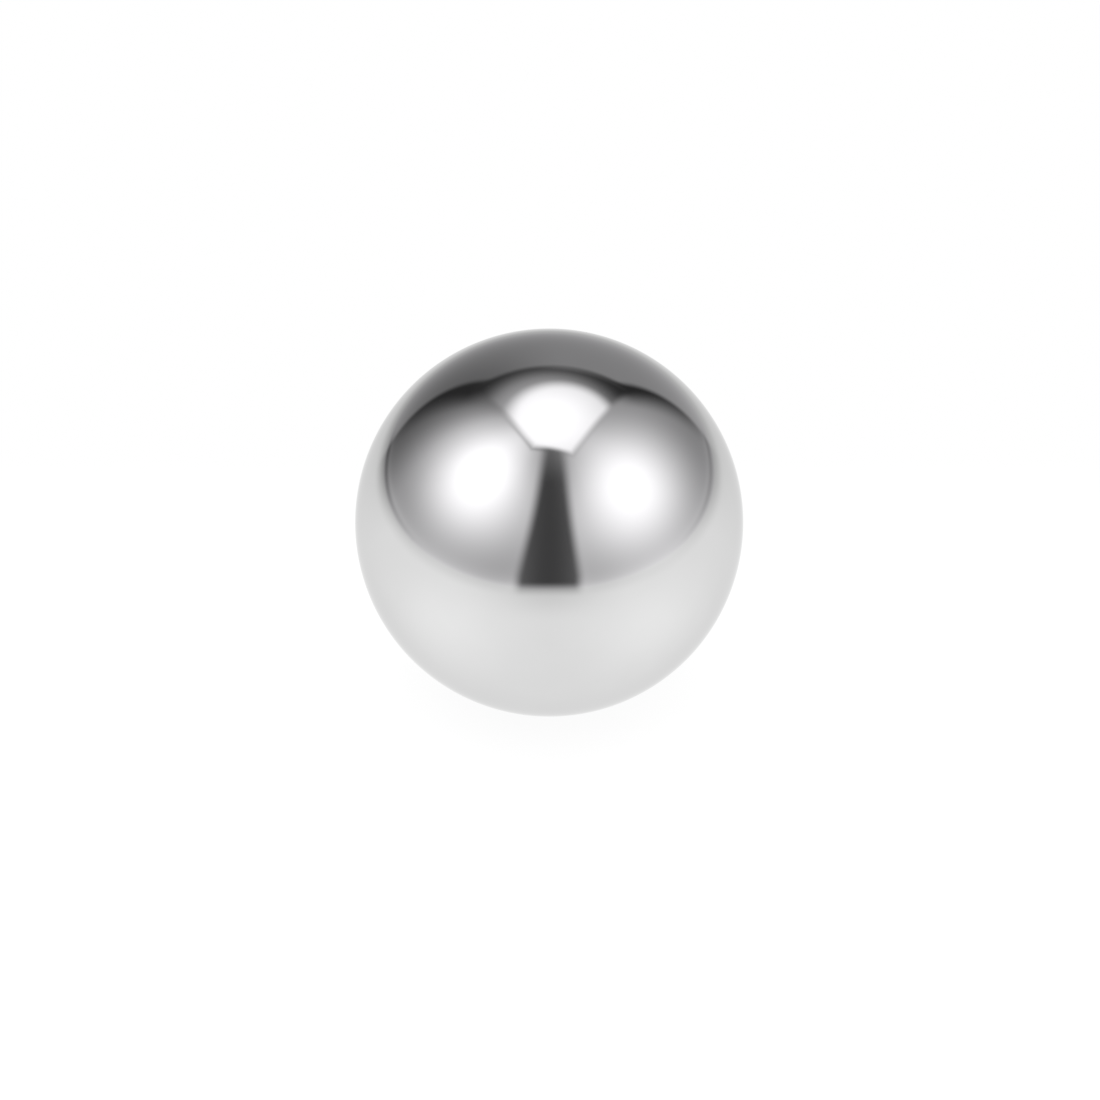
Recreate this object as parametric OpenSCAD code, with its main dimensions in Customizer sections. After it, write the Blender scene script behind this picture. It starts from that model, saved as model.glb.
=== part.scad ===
// Solid steel ball, lapped to a true sphere.
// Millimetres, +Z up, origin at the centre of the ball.

/* [Ball] */
// Diameter of the ball
ball_d = 25.4; // [1:0.05:105]

/* [Hidden] */
// Facets round a great circle when the ball is drawn as a mesh
$fn = 180;

// The whole part: one sphere with no flat, hole, seam or parting line
module ball() {
    color("silver") sphere(d = ball_d);
}

ball();
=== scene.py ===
# A polished steel ball standing on a white opal table top inside a small light tent.
#
# Lengths are in metres, with +Z up, +X to the right and -Y towards the viewer, and the ball's centre is the
# origin.
# A mirror ball shows hardly anything but the room around it, so the tent is made with as much care as the
# ball.
# The tent is described by two angles seen from the ball's centre, both in degrees: "around" is 0 towards the
# viewer, 90 to the right and 180 behind, and "height" is 0 at the horizon and 90 straight up.
# A brightness of 1 is white paper in plain light.
from math import atan, radians, sin

import bpy
import numpy as np
from mathutils import Euler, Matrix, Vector


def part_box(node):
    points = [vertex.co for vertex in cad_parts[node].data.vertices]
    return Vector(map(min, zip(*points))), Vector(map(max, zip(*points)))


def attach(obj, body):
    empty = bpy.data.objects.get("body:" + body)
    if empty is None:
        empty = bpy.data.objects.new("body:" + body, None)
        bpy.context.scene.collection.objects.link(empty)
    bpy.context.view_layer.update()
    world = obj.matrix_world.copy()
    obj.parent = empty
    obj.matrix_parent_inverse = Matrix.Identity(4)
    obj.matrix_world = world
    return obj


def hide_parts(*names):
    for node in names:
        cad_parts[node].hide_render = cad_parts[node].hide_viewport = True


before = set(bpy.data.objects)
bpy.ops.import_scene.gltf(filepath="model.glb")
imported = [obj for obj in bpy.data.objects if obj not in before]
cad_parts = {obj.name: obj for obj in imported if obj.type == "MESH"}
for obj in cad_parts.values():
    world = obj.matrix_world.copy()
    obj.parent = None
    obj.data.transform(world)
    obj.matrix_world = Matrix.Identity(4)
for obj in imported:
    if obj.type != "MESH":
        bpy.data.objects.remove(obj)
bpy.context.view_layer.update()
ball_low, ball_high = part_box("ball")
BALL_RADIUS = (ball_high.z - ball_low.z) / 2


# --- small tools --------------------------------------------------------------------------------------------

def linear(hex_colour):
    """An sRGB hex colour as linear red, green, blue and an alpha of 1."""
    channels = np.array([int(hex_colour[i:i + 2], 16) for i in (1, 3, 5)]) / 255
    light = np.where(channels <= 0.04045, channels / 12.92, ((channels + 0.055) / 1.055) ** 2.4)
    return (*light.tolist(), 1.0)


def add_node(tree, kind, settings=None, **inputs):
    """Adds a node. Settings go on the node itself, and each input takes a value or another node's output."""
    node = tree.nodes.new(kind)
    for name, value in (settings or {}).items():
        setattr(node, name, value)
    for name, value in inputs.items():
        socket = node.inputs[int(name[1:])] if name[1:].isdigit() else node.inputs[name.replace("_", " ")]
        if isinstance(value, bpy.types.NodeSocket):
            tree.links.new(value, socket)
        else:
            socket.default_value = value
    return node


def new_material(name):
    """A material with an empty node tree, and that tree."""
    material = bpy.data.materials.new(name)
    material.use_nodes = True
    material.node_tree.nodes.clear()
    return material, material.node_tree


def new_object(name, points, faces, material):
    """A mesh object at the origin, with its place in its points, smooth shading and one material."""
    mesh = bpy.data.meshes.new(name)
    mesh.from_pydata(points.tolist(), [], faces.tolist())
    mesh.shade_smooth()
    mesh.materials.append(material)
    made = bpy.data.objects.new(name, mesh)
    bpy.context.scene.collection.objects.link(made)
    return made


def grid_faces(rows, columns):
    """Squares between neighbouring points of a grid, counted row by row, anticlockwise seen from outside."""
    corner = np.arange(rows * columns).reshape(rows, columns)
    squares = (corner[:-1, :-1], corner[1:, :-1], corner[1:, 1:], corner[:-1, 1:])
    return np.stack(squares, -1).reshape(-1, 4)


# --- the ball -----------------------------------------------------------------------------------------------

CELLS = 64  # squares along each side of the six grids; the facets then lie within 0.001 mm of the true sphere


def ball_surface(radius, cells):
    """A sphere made of six square grids, one pushed out from each face of a cube, with no poles.

    The grid's lines are planes through the centre at equal angles a and b from -45 to 45 degrees. A point is
    radius times the unit vector along (outward + tan(a) * side + tan(b) * up). Shared edges are merged.
    """
    slope = np.tan(np.radians(np.linspace(-45, 45, cells + 1)))
    a, b = np.meshgrid(slope, slope, indexing="ij")
    axes = np.eye(3)
    points = []
    for axis in range(3):
        for sign in (1, -1):
            outward = sign * axes[axis]
            side = axes[(axis + 1) % 3]
            up = np.cross(outward, side)
            sheet = outward + a[..., None] * side + b[..., None] * up
            points.append(radius * sheet / np.linalg.norm(sheet, axis=-1, keepdims=True))
    points = np.concatenate([sheet.reshape(-1, 3) for sheet in points])
    count = (cells + 1) ** 2
    faces = np.concatenate([grid_faces(cells + 1, cells + 1) + k * count for k in range(6)])
    _, first, merged = np.unique(np.round(points / radius, 7), axis=0, return_index=True, return_inverse=True)
    return points[first], merged.reshape(-1)[faces]


HAZE_SIZE = 0.003  # from one patch of haze to the next
LAP_SIZE = 0.0003  # from one lapping mark to the next
ROUGHNESS = dict(clear=0.03, hazy=0.055, lapping=0.016)


def bearing_steel():
    """Hardened chromium bearing steel, ground, lapped and then tumbled to a mirror.

    It is a neutral grey mirror with no grain. What the polish leaves is a haze that comes and goes over about
    3 mm, and lapping marks too fine to follow, which only soften the sharpest edges of a reflection.
    """
    material, tree = new_material("bearing_steel_lapped_and_polished")
    place = add_node(tree, "ShaderNodeTexCoord").outputs["Object"]
    haze = add_node(tree, "ShaderNodeTexNoise", Vector=place, Scale=1 / HAZE_SIZE, Detail=2.0, Roughness=0.5)
    laps = add_node(tree, "ShaderNodeTexNoise", Vector=place, Scale=1 / LAP_SIZE, Detail=1.0, Roughness=0.5)
    steel = add_node(
        tree, "ShaderNodeMix", {"data_type": "RGBA"},
        _0=haze.outputs["Fac"], _6=linear("#D3D3D3"), _7=linear("#D6D6D6"),
    )
    soft = add_node(
        tree, "ShaderNodeMapRange", Value=haze.outputs["Fac"], From_Min=0.3, From_Max=0.7,
        To_Min=ROUGHNESS["clear"], To_Max=ROUGHNESS["hazy"],
    )
    fine = add_node(
        tree, "ShaderNodeMath", {"operation": "MULTIPLY_ADD"},
        _0=laps.outputs["Fac"], _1=ROUGHNESS["lapping"], _2=soft.outputs["Result"],
    )
    shader = add_node(
        tree, "ShaderNodeBsdfPrincipled",
        Base_Color=steel.outputs[2], Metallic=1.0, Roughness=fine.outputs[0], Specular_Tint=linear("#EDEDED"),
    )
    add_node(tree, "ShaderNodeOutputMaterial", Surface=shader.outputs[0])
    return material


ball = new_object("polished_ball", *ball_surface(BALL_RADIUS, CELLS), bearing_steel())
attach(ball, "root")
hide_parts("ball")


# --- the light tent: its sizes and its light ----------------------------------------------------------------

# Distances are in ball radii, angles and softness in degrees, and brightness in parts of plain white. A
# bearing is how far round from the front a thing is, to either side, and "up" is the height above the tent's
# foot. A point of the top is given by how far across and how far back it is for each unit above the ball.
FOOT_IN_FRONT = 8.5
FOOT_AT_SIDES = 15.0
TENT_TOP = 14.0  # above the table

# The two side cloths differ in their lamps, in their painted light and shade, in how their hems hang and in
# where they end at the back.
LEFT = dict(
    lamp_light=1.6, lamp_bearing=58, lamp_height=45, dims_by=0.6, seam=0.3,
    hem_light=1, hem_lift=1, looseness=1, ends_at=136, back_begins=134, back_slant=0.3,
)
RIGHT = dict(
    lamp_light=1.45, lamp_bearing=60, lamp_height=36, dims_by=0.1, seam=0.1,
    hem_light=0.8, hem_lift=2, looseness=0.6, ends_at=137, back_begins=136, back_slant=0.2,
)
CLOTH = dict(unlit=0.3, reach_across=40, reach_up=28, reach_down=32, dims_from=100)
SIDES_MEET = 0.2  # how far to either side, as a sine, LEFT and RIGHT still mix
SIDE_END = dict(slant=-0.16, soft=8)
# Along the hems of the side cloths: a painted bright rim, and painted shade in the crease below it.
HEM = dict(reach=5, rim_light=0.15, crease_shade=0.4, crease_up=1, rim_above=2, width=1.6)
HEM_SHOWS = dict(begins=60, full=130, ends=142)  # bearings where its rim and crease are seen
# Painted shade darkens the side cloths in a band along the edges of the top cloth.
SEAM_SHADE = dict(outside=2, width=1, fades=60, ends=120)  # along the edges of the top cloth, up to two bearings
SPILL = dict(beside_gap=0.3, below_top=0.3, reach=10, low=5, high=60)  # on the edges of the side cloths

GAP = dict(foot=-6, foot_left=-17, foot_right=16, top_left=(-0.03, -0.30), top_right=(0.14, -0.33), soft=3.5)
GAP_MIDDLE = (2, 30)  # a direction inside the gap
GAP_BULGE = dict(by=3, up_to=70)  # how far the cloths hang into the gap halfway up
ROOM = dict(dark=0.07, near_edges=0.08, near_top=0.1, top_begins=50, top_full=72)  # behind the gap
TOP = dict(soft=2, glow=0.88, spread=0.6, above=20)
TOP_CORNERS = ((-0.14, -0.29), (0.22, -0.36), (0.77, 0.82), (-0.73, 0.83))
TOP_LAMP = dict(light=0.8, across=0.15, half_width=0.62, behind=0.6, ahead=0.5, even_to=0.65)
BACK = dict(unlit=0.3, dims_by=0.15, dims_from=170, dims_to=220, soft=2.5)  # bearings run on past 180
BACK_MIDDLE = (180, 10)  # a direction on the back cloth
BACK_SLANTS = (-10, 70)  # the heights between which its two ends slant
BACK_TOP = dict(left=(-1, 0.85), right=(1, 0.95))
BACK_FOOT = dict(light=0.3, reach=11)
CORNER = dict(dark=0.03, low=15, high=40, fade=20)  # the shaded corners behind, between two heights
TABLE = dict(white=1.05, dims_in_front=0.18, front_width=25, front_depth=14)
TABLE_BEHIND = dict(dims_by=0.45, begins=1, reach=13)
TABLE_POOL = dict(light=0.14, bearing=50, height=-26, width=30, depth=16)
COVE = dict(middle=-1.3, front_middle=0.5, front_width=20, half=4)  # where the table turns up into the cloths


def soft_step(start, end, value):
    """Nothing before start, one after end, and an even S-shaped rise between them."""
    t = np.clip((value - start) / (end - start), 0, 1)
    return t * t * (3 - 2 * t)


def bump(value, middle, width):
    """One at the middle, falling off to both sides like a bell."""
    return np.exp(-((value - middle) / width) ** 2)


def ray(around, height):
    """The unit vector in a direction given by its two angles."""
    a, e = np.radians(around), np.radians(height)
    parts = np.broadcast_arrays(np.cos(e) * np.sin(a), -np.cos(e) * np.cos(a), np.sin(e))
    return np.stack(parts, -1)


def overhead(point):
    """The unit vector to a point of the tent's top."""
    v = np.array([*point, 1.0])
    return v / np.linalg.norm(v)


def within_edge(rays, start, end, middle):
    """How many degrees a ray is on middle's side of the straight edge from start to end."""
    across = np.cross(start, end)
    across *= np.sign(across @ middle) / np.linalg.norm(across)
    return np.degrees(np.arcsin(np.clip(rays @ across, -1, 1)))


def own(around, name):
    """The side cloth's own value. It turns evenly from left to right straight ahead and straight behind."""
    right = soft_step(-SIDES_MEET, SIDES_MEET, np.sin(np.radians(around)))
    return LEFT[name] * (1 - right) + RIGHT[name] * right


def foot_slope(around):
    """One over the distance of the tent's foot, which changes with the cosine of the direction."""
    at_sides = 1 / FOOT_AT_SIDES
    return at_sides + (1 / FOOT_IN_FRONT - at_sides) * np.cos(np.radians(around))


def foot_height(around):
    """The height of the tent's foot, in degrees, which is just below the horizon."""
    return -np.degrees(np.arctan(foot_slope(around)))


def tent_distance(around, height):
    """How far off the tent's wall is, in ball radii.

    The wall is where the squares of (distance on plan * foot slope) and (height above the table / TENT_TOP)
    add up to 1.
    """
    up = np.sin(np.radians(height)) / TENT_TOP
    out = foot_slope(around) * np.cos(np.radians(height))
    a, b, c = out * out + up * up, up / TENT_TOP, 1 / TENT_TOP ** 2 - 1
    return (-b + np.sqrt(b * b - a * c)) / a


def within_top(rays):
    """How many degrees a ray is inside the nearest edge of the four-sided top cloth."""
    corners = [overhead(point) for point in TOP_CORNERS]
    edges = [within_edge(rays, corners[i], corners[i - 3], sum(corners)) for i in range(4)]
    return np.min(edges, axis=0)


def within_gap(rays, height):
    """How many degrees a ray is inside the open front, whose straight edges bulge inwards halfway up."""
    middle = ray(*GAP_MIDDLE)
    left = within_edge(rays, ray(GAP["foot_left"], GAP["foot"]), overhead(GAP["top_left"]), middle)
    right = within_edge(rays, ray(GAP["foot_right"], GAP["foot"]), overhead(GAP["top_right"]), middle)
    halfway = np.sin(np.pi * np.clip(height / GAP_BULGE["up_to"], 0, 1))
    return np.minimum(left, right) - GAP_BULGE["by"] * halfway


def along_hem(around):
    """How clearly a side cloth's hem shows its painted bright rim and the painted shade of its crease
    in a direction.
    """
    wide = np.abs(around)
    seen = soft_step(HEM_SHOWS["begins"], HEM_SHOWS["full"], wide)
    return own(around, "looseness") * seen * (1 - soft_step(HEM_SHOWS["full"], HEM_SHOWS["ends"], wide))


def crease_height(around):
    """How far above the tent's foot the hem's crease runs. It rises towards the back."""
    rise = soft_step(HEM_SHOWS["begins"], HEM_SHOWS["full"], np.abs(around))
    return HEM["crease_up"] + own(around, "hem_lift") * rise


def side_cloths(around, height, up):
    """The two side cloths, each with a lamp close behind it that makes a round pool of light.

    The pool is a bell across and another along, with a longer reach down than up. Painted light from the
    table brightens the cloth's foot, and a painted bright rim along the hem stands a little above its crease.
    Painted light from the gap and the top cloth brightens the edges, and painted shade darkens the cloth
    along its seam beside the top cloth.
    """
    wide = np.abs(around)
    lamp_height = own(around, "lamp_height")
    reach = np.where(height > lamp_height, CLOTH["reach_up"], CLOTH["reach_down"])
    across = bump(wide, own(around, "lamp_bearing"), CLOTH["reach_across"])
    light = CLOTH["unlit"] + own(around, "lamp_light") * across * bump(height, lamp_height, reach)
    light = light * (1 - own(around, "dims_by") * soft_step(CLOTH["dims_from"], own(around, "ends_at"), wide))
    light = light * (1 + own(around, "hem_light") * np.exp(-np.maximum(up, 0) / HEM["reach"]))
    rim_light = bump(up, crease_height(around) + HEM["rim_above"], HEM["width"])
    light = light * (1 + HEM["rim_light"] * along_hem(around) * rim_light)

    rays = ray(around, height)
    beside_gap = np.exp(np.minimum(within_gap(rays, height), 0) / SPILL["reach"])
    below_top = np.exp(np.minimum(within_top(rays), 0) / SPILL["reach"])
    high = soft_step(SPILL["low"], SPILL["high"], height)
    light = light * (1 + SPILL["beside_gap"] * (1 - high) * beside_gap)
    light = light * (1 + SPILL["below_top"] * high * below_top)
    seam = bump(within_top(rays), -SEAM_SHADE["outside"], SEAM_SHADE["width"])
    seam = seam * (1 - soft_step(SEAM_SHADE["fades"], SEAM_SHADE["ends"], wide))
    return light * (1 - own(around, "seam") * seam)


def front_gap(around, height, up):
    """The open front between the side cloths, and how bright the dark room behind it is."""
    share = soft_step(-GAP["soft"], GAP["soft"], within_gap(ray(around, height), height))
    edges = np.minimum(np.abs(around) / GAP["foot_right"], 2) ** 2
    near_top = soft_step(ROOM["top_begins"], ROOM["top_full"], height)
    return share, ROOM["dark"] + ROOM["near_edges"] * edges + ROOM["near_top"] * near_top


def top_cloth(around, height, up):
    """The top cloth: a lamp lies on it, evenly bright in the middle, and the cloth round it glows faintly."""
    rays = ray(around, height)
    share = (height > TOP["above"]) * soft_step(-TOP["soft"], TOP["soft"], within_top(rays))
    x, y = (rays[..., i] / np.maximum(rays[..., 2], 0.2) for i in (0, 1))
    along = y / np.where(y > 0, TOP_LAMP["behind"], TOP_LAMP["ahead"])
    off = np.hypot((x - TOP_LAMP["across"]) / TOP_LAMP["half_width"], along)
    light = TOP_LAMP["light"] * (1 - soft_step(TOP_LAMP["even_to"], 1, off))
    return share, light + TOP["glow"] * bump(np.hypot(x, y), 0, TOP["spread"])


def dark_corners(around, height, up):
    """The shaded corners behind, past the slanting end of each side cloth."""
    end = own(around, "ends_at") + SIDE_END["slant"] * height
    past = soft_step(-SIDE_END["soft"], SIDE_END["soft"], np.abs(around) - end)
    low = soft_step(CORNER["low"] - CORNER["fade"], CORNER["low"], height)
    high = 1 - soft_step(CORNER["high"], CORNER["high"] + CORNER["fade"], height)
    return past * low * high, CORNER["dark"]


def back_cloth(around, height, up):
    """The unlit cloth behind, dimmer to the left, which gets light mostly from the table at its foot."""
    rays = ray(around, height)
    top = within_edge(rays, overhead(BACK_TOP["right"]), overhead(BACK_TOP["left"]), ray(*BACK_MIDDLE))
    edge = own(around, "back_begins") + own(around, "back_slant") * np.clip(height, *BACK_SLANTS)
    inside = (np.abs(around) - edge) * np.cos(np.radians(height))
    share = soft_step(-BACK["soft"], BACK["soft"], inside) * soft_step(-BACK["soft"], BACK["soft"], top)
    turned = np.where(around > 0, around, around + 360)
    light = BACK["unlit"] - BACK["dims_by"] * soft_step(BACK["dims_from"], BACK["dims_to"], turned)
    return share, light + BACK_FOOT["light"] * np.exp(-np.maximum(up, 0) / BACK_FOOT["reach"])


def table_top(around, height, up):
    """The white table: a painted pool of light below each lamp, and painted shade that makes it greyer
    towards the gap and darker to the back.
    """
    across = bump(np.abs(around), TABLE_POOL["bearing"], TABLE_POOL["width"])
    along = bump(height, TABLE_POOL["height"], TABLE_POOL["depth"])
    light = TABLE["white"] + TABLE_POOL["light"] * across * along
    facing_gap = bump(around, 0, TABLE["front_width"]) * soft_step(-TABLE["front_depth"], 0, up)
    back_by = -np.cos(np.radians(around)) / np.tan(np.radians(np.clip(-height, 1.2, 90)))
    behind = 1 - np.exp(-np.maximum(back_by - TABLE_BEHIND["begins"], 0) / TABLE_BEHIND["reach"])
    return light * (1 - TABLE["dims_in_front"] * facing_gap) * (1 - TABLE_BEHIND["dims_by"] * behind)


def tent_glow(around, height):
    """The brightness of the tent and the table in any direction.

    The cloths are laid one over the other, from the sides to the back. The table turns into them in a soft
    cove, with painted shade in the crease under the hem of the side cloths. Besides the lamps' pools, this
    brightness holds painted light and painted shade: light from the table and the gap, bright rims, and shade
    in creases, seams and corners, and on the table towards the gap and the back.
    """
    up = height - foot_height(around)
    light = side_cloths(around, height, up)
    for cloth in (front_gap, top_cloth, dark_corners, back_cloth):
        share, own_light = cloth(around, height, up)
        light = light * (1 - share) + own_light * share

    middle = COVE["middle"] + (COVE["front_middle"] - COVE["middle"]) * bump(around, 0, COVE["front_width"])
    share = soft_step(middle - COVE["half"], middle + COVE["half"], up)
    light = table_top(around, height, up) * (1 - share) + light * share
    return light * (1 - HEM["crease_shade"] * along_hem(around) * bump(up, crease_height(around), HEM["width"]))


# --- the light tent: its meshes -----------------------------------------------------------------------------

def set_values(thing, name, values):
    """Writes one number for each point of a mesh, for its material to read."""
    numbers = thing.data.attributes.new(name, "FLOAT", "POINT").data
    numbers.foreach_set("value", values.astype(np.float32).ravel())


def tent_cloth():
    """Thin white cloth with lamps behind it.

    It gives off the light it lets through, a trace cooler than white, and the camera looks through it.
    Painted light and painted shade are laid into that glow as well: light from the table, the gap and the top
    cloth, bright hem rims, and shade in creases, along seams and in the corners behind.
    """
    material, tree = new_material("tent_cloth_backlit_with_painted_light_and_shade")
    material.cycles.emission_sampling = "NONE"
    glow = add_node(tree, "ShaderNodeAttribute", {"attribute_name": "glow"}).outputs["Fac"]
    light = add_node(tree, "ShaderNodeEmission", Color=linear("#FDFCFE"), Strength=glow)
    add_node(tree, "ShaderNodeOutputMaterial", Surface=light.outputs[0])
    return material


def opal_table_top():
    """Opal white acrylic that glows as though lit from below: plain white to the camera, with a faint soft
    shadow right under the ball. Metal and glass see its glow, which holds painted light and painted shade:
    a pool of light below each lamp, and shade towards the gap and the back.
    """
    material, tree = new_material("opal_acrylic_table_top")
    material.cycles.emission_sampling = "NONE"
    glow = add_node(tree, "ShaderNodeAttribute", {"attribute_name": "glow"}).outputs["Fac"]
    clear = add_node(tree, "ShaderNodeAttribute", {"attribute_name": "clear"}).outputs["Fac"]
    path = add_node(tree, "ShaderNodeLightPath").outputs
    strength = add_node(tree, "ShaderNodeMath", {"operation": "MAXIMUM"}, _0=glow, _1=path["Is Camera Ray"])
    seen = add_node(tree, "ShaderNodeMath", {"operation": "MULTIPLY"}, _0=path["Is Camera Ray"], _1=clear)
    shiny = add_node(
        tree, "ShaderNodeMath", {"operation": "MAXIMUM"},
        _0=path["Is Glossy Ray"], _1=path["Is Transmission Ray"],
    )
    share = add_node(
        tree, "ShaderNodeMath", {"operation": "MAXIMUM"}, _0=seen.outputs[0], _1=shiny.outputs[0],
    )
    light = add_node(tree, "ShaderNodeEmission", Color=linear("#FFFFFF"), Strength=strength.outputs[0])
    matt = add_node(tree, "ShaderNodeBsdfDiffuse", Color=linear("#F2F2F2"))
    both = add_node(
        tree, "ShaderNodeMixShader", _0=share.outputs[0], _1=matt.outputs[0], _2=light.outputs[0]
    )
    add_node(tree, "ShaderNodeOutputMaterial", Surface=both.outputs[0])
    return material


STEP = 0.5  # degrees between the lines of both meshes
TENT_BEGINS = -10  # the height where the tent's mesh begins, below the table
TABLE_ENDS = -0.6  # the height where the table's mesh ends, just below the horizon
CONTACT_SHADOW = 0.15  # how much of the shade right under the ball the glowing table lets show
SHADOW_FADES = (0.3, 1.5)  # in ball radii from where the ball touches the table
around, height = np.meshgrid(np.arange(-180, 180.1, STEP), np.arange(TENT_BEGINS, 90.1, STEP), indexing="ij")
on_tent = BALL_RADIUS * tent_distance(around, height)[..., None] * ray(around, height)
tent = new_object("light_tent", on_tent.reshape(-1, 3), grid_faces(*around.shape), tent_cloth())
# The tent's glow: the lamps' light, with painted light and painted shade laid in.
set_values(tent, "glow", tent_glow(around, height))
tent.visible_camera = False

# The table's lines run from right under the ball out to just below the horizon.
heights = np.append(np.arange(-90, -1, STEP), TABLE_ENDS)
around, height = np.meshgrid(np.arange(-180, 180.1, STEP), heights, indexing="ij")
reach = BALL_RADIUS / np.tan(np.radians(-height))
across, back = reach * np.sin(np.radians(around)), -reach * np.cos(np.radians(around))
on_table = np.stack([across, back, np.full_like(reach, -BALL_RADIUS)], -1)
table = new_object("table_top", on_table.reshape(-1, 3), grid_faces(*around.shape), opal_table_top())
# The table's glow, which metal sees: painted pools of light and painted shade.
set_values(table, "glow", tent_glow(around, height))
set_values(table, "clear", 1 - CONTACT_SHADOW * (1 - soft_step(*SHADOW_FADES, reach / BALL_RADIUS)))

world = bpy.data.worlds.new("white_surroundings")
world.use_nodes = True
world.node_tree.nodes["Background"].inputs["Color"].default_value = linear("#FFFFFF")
world.node_tree.nodes["Background"].inputs["Strength"].default_value = 1.0
bpy.context.scene.world = world


# --- the camera ---------------------------------------------------------------------------------------------

PICTURE_PX = 1100
BALL_AT_PX = (549.2, 522.75)  # the ball's centre in the picture, from the left and from the top
BALL_RADIUS_PX = 194.2
SEEN_FROM = 30  # degrees above level, from which the camera sees the ball's centre
LENS_MM, SENSOR_MM = 100, 36

lens_px = LENS_MM / SENSOR_MM * PICTURE_PX
right_px, up_px = BALL_AT_PX[0] - PICTURE_PX / 2, PICTURE_PX / 2 - BALL_AT_PX[1]
tilt = radians(SEEN_FROM) + atan(up_px / lens_px)  # downwards; the ball is above the picture's middle
turn = Euler((radians(90) - tilt, 0, 0))
to_ball = Vector((right_px, up_px, -lens_px)).normalized()
to_ball.rotate(turn)
camera_data = bpy.data.cameras.new("camera")
camera_data.lens, camera_data.sensor_width = LENS_MM, SENSOR_MM
camera_data.clip_start, camera_data.clip_end = 0.01, 5.0
camera = bpy.data.objects.new("camera", camera_data)
camera.rotation_euler = turn
camera.location = -to_ball * BALL_RADIUS / sin(atan(BALL_RADIUS_PX / lens_px))
bpy.context.scene.collection.objects.link(camera)
bpy.context.scene.camera = camera

bpy.context.scene.view_settings.view_transform = "Standard"
